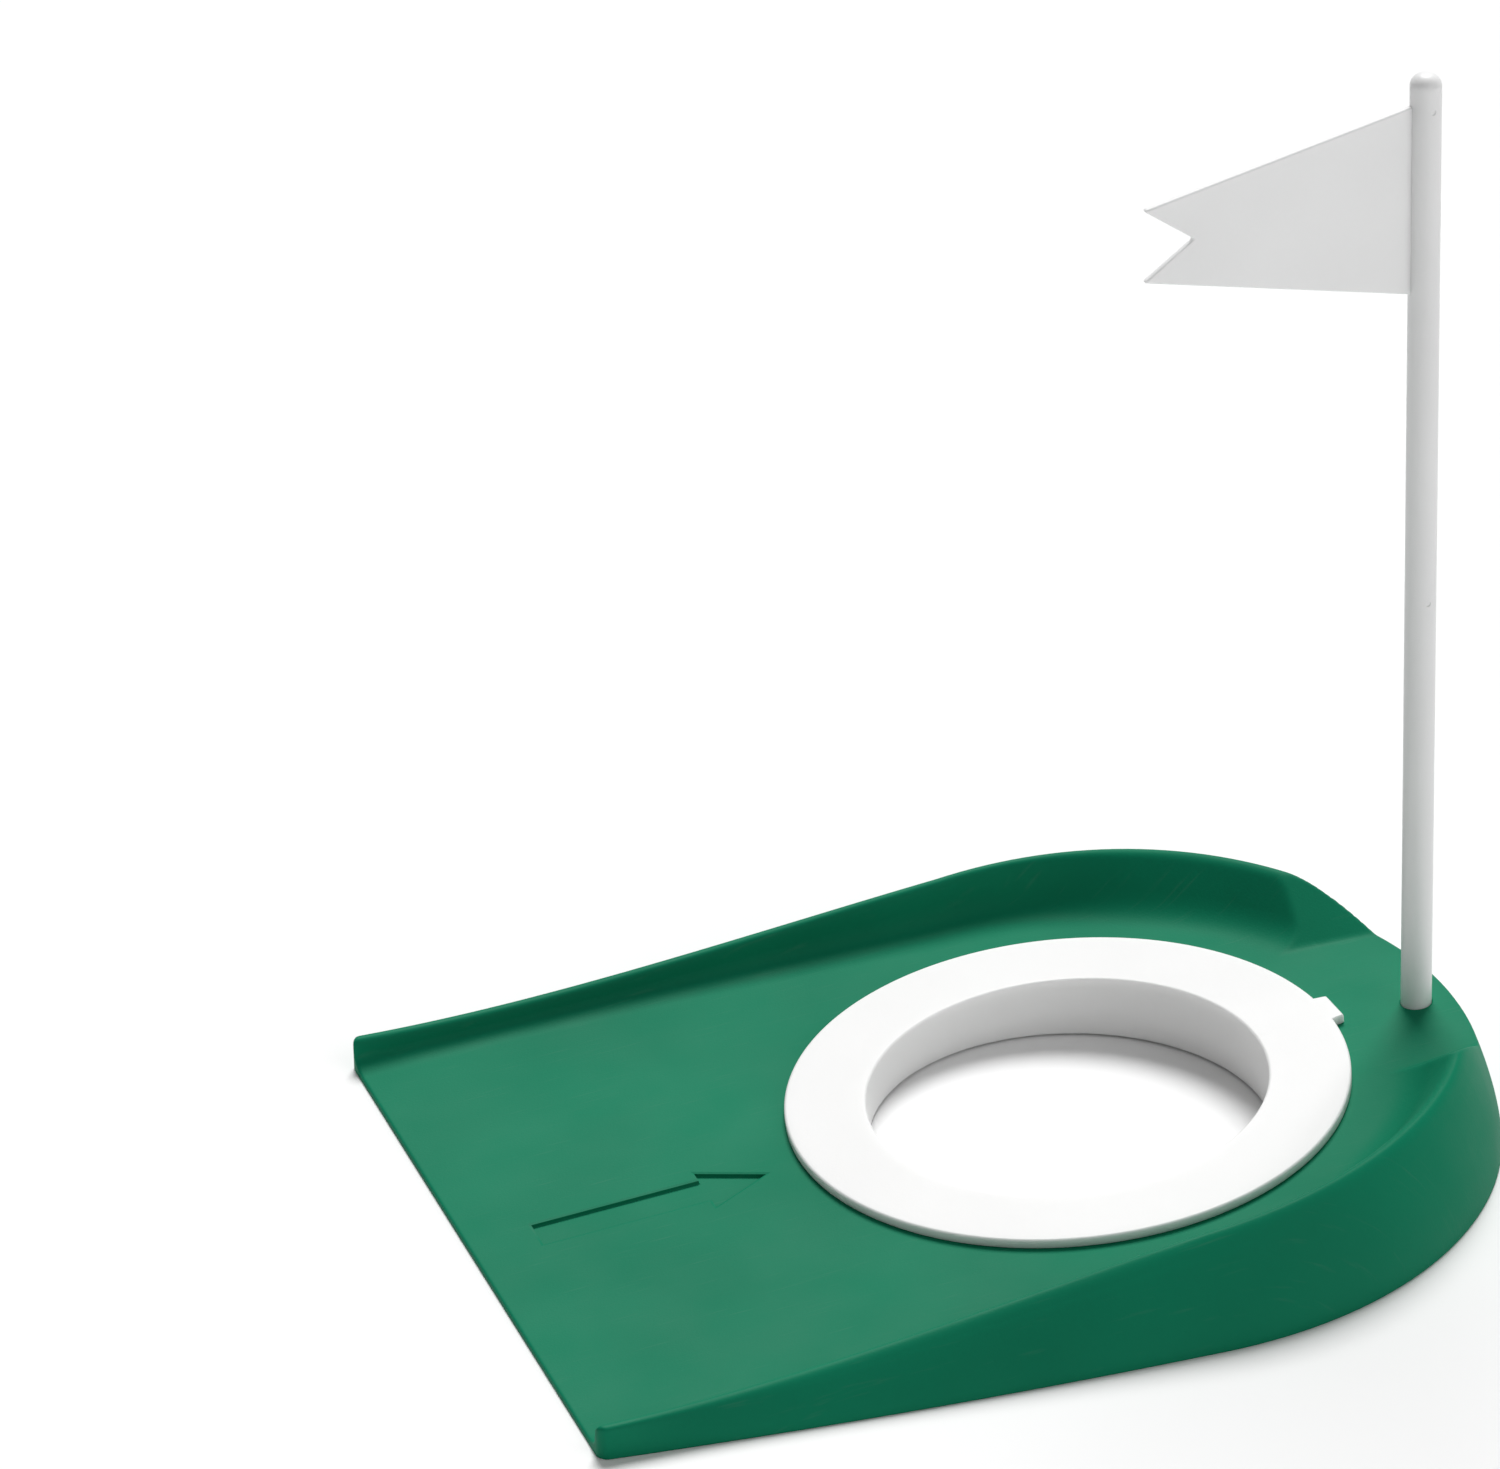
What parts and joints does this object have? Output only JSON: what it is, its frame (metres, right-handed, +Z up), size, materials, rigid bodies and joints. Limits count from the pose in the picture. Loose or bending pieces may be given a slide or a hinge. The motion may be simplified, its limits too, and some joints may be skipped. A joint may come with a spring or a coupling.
{
  "type": "practice putting mat",
  "caption": "Moulded practice putting ramp with low side walls, a drop-in ring lining a regulation-size hole, and a plug-in flag behind it.",
  "frame": {"origin": "on the floor, at the middle of the tray's length and width", "axes": "+X in the direction of the putt, +Y to the player's left, +Z up"},
  "size_m": [0.284, 0.232, 0.296],
  "materials": {
    "tray_plastic": "semi-gloss, finely textured green moulding",
    "ring_plastic": "semi-gloss white moulding",
    "pole_plastic": "semi-gloss off-white rod",
    "pennant_plastic": "satin off-white sheet"
  },
  "bodies": {
    "tray": {"tray": "tray_plastic"},
    "ring": {"hole_ring": "ring_plastic"},
    "flag": {"flag_pole": "pole_plastic", "pennant": "pennant_plastic"}
  },
  "joints": [
    {"name": "ring_lift", "type": "slide", "parent": "tray", "child": "ring", "axis": [-0.0732, 0, 0.9973], "range_m": [0, 0.06]},
    {"name": "flag_lift", "type": "slide", "parent": "tray", "child": "flag", "axis": [0, 0, 1], "range_m": [0, 0.06]}
  ]
}
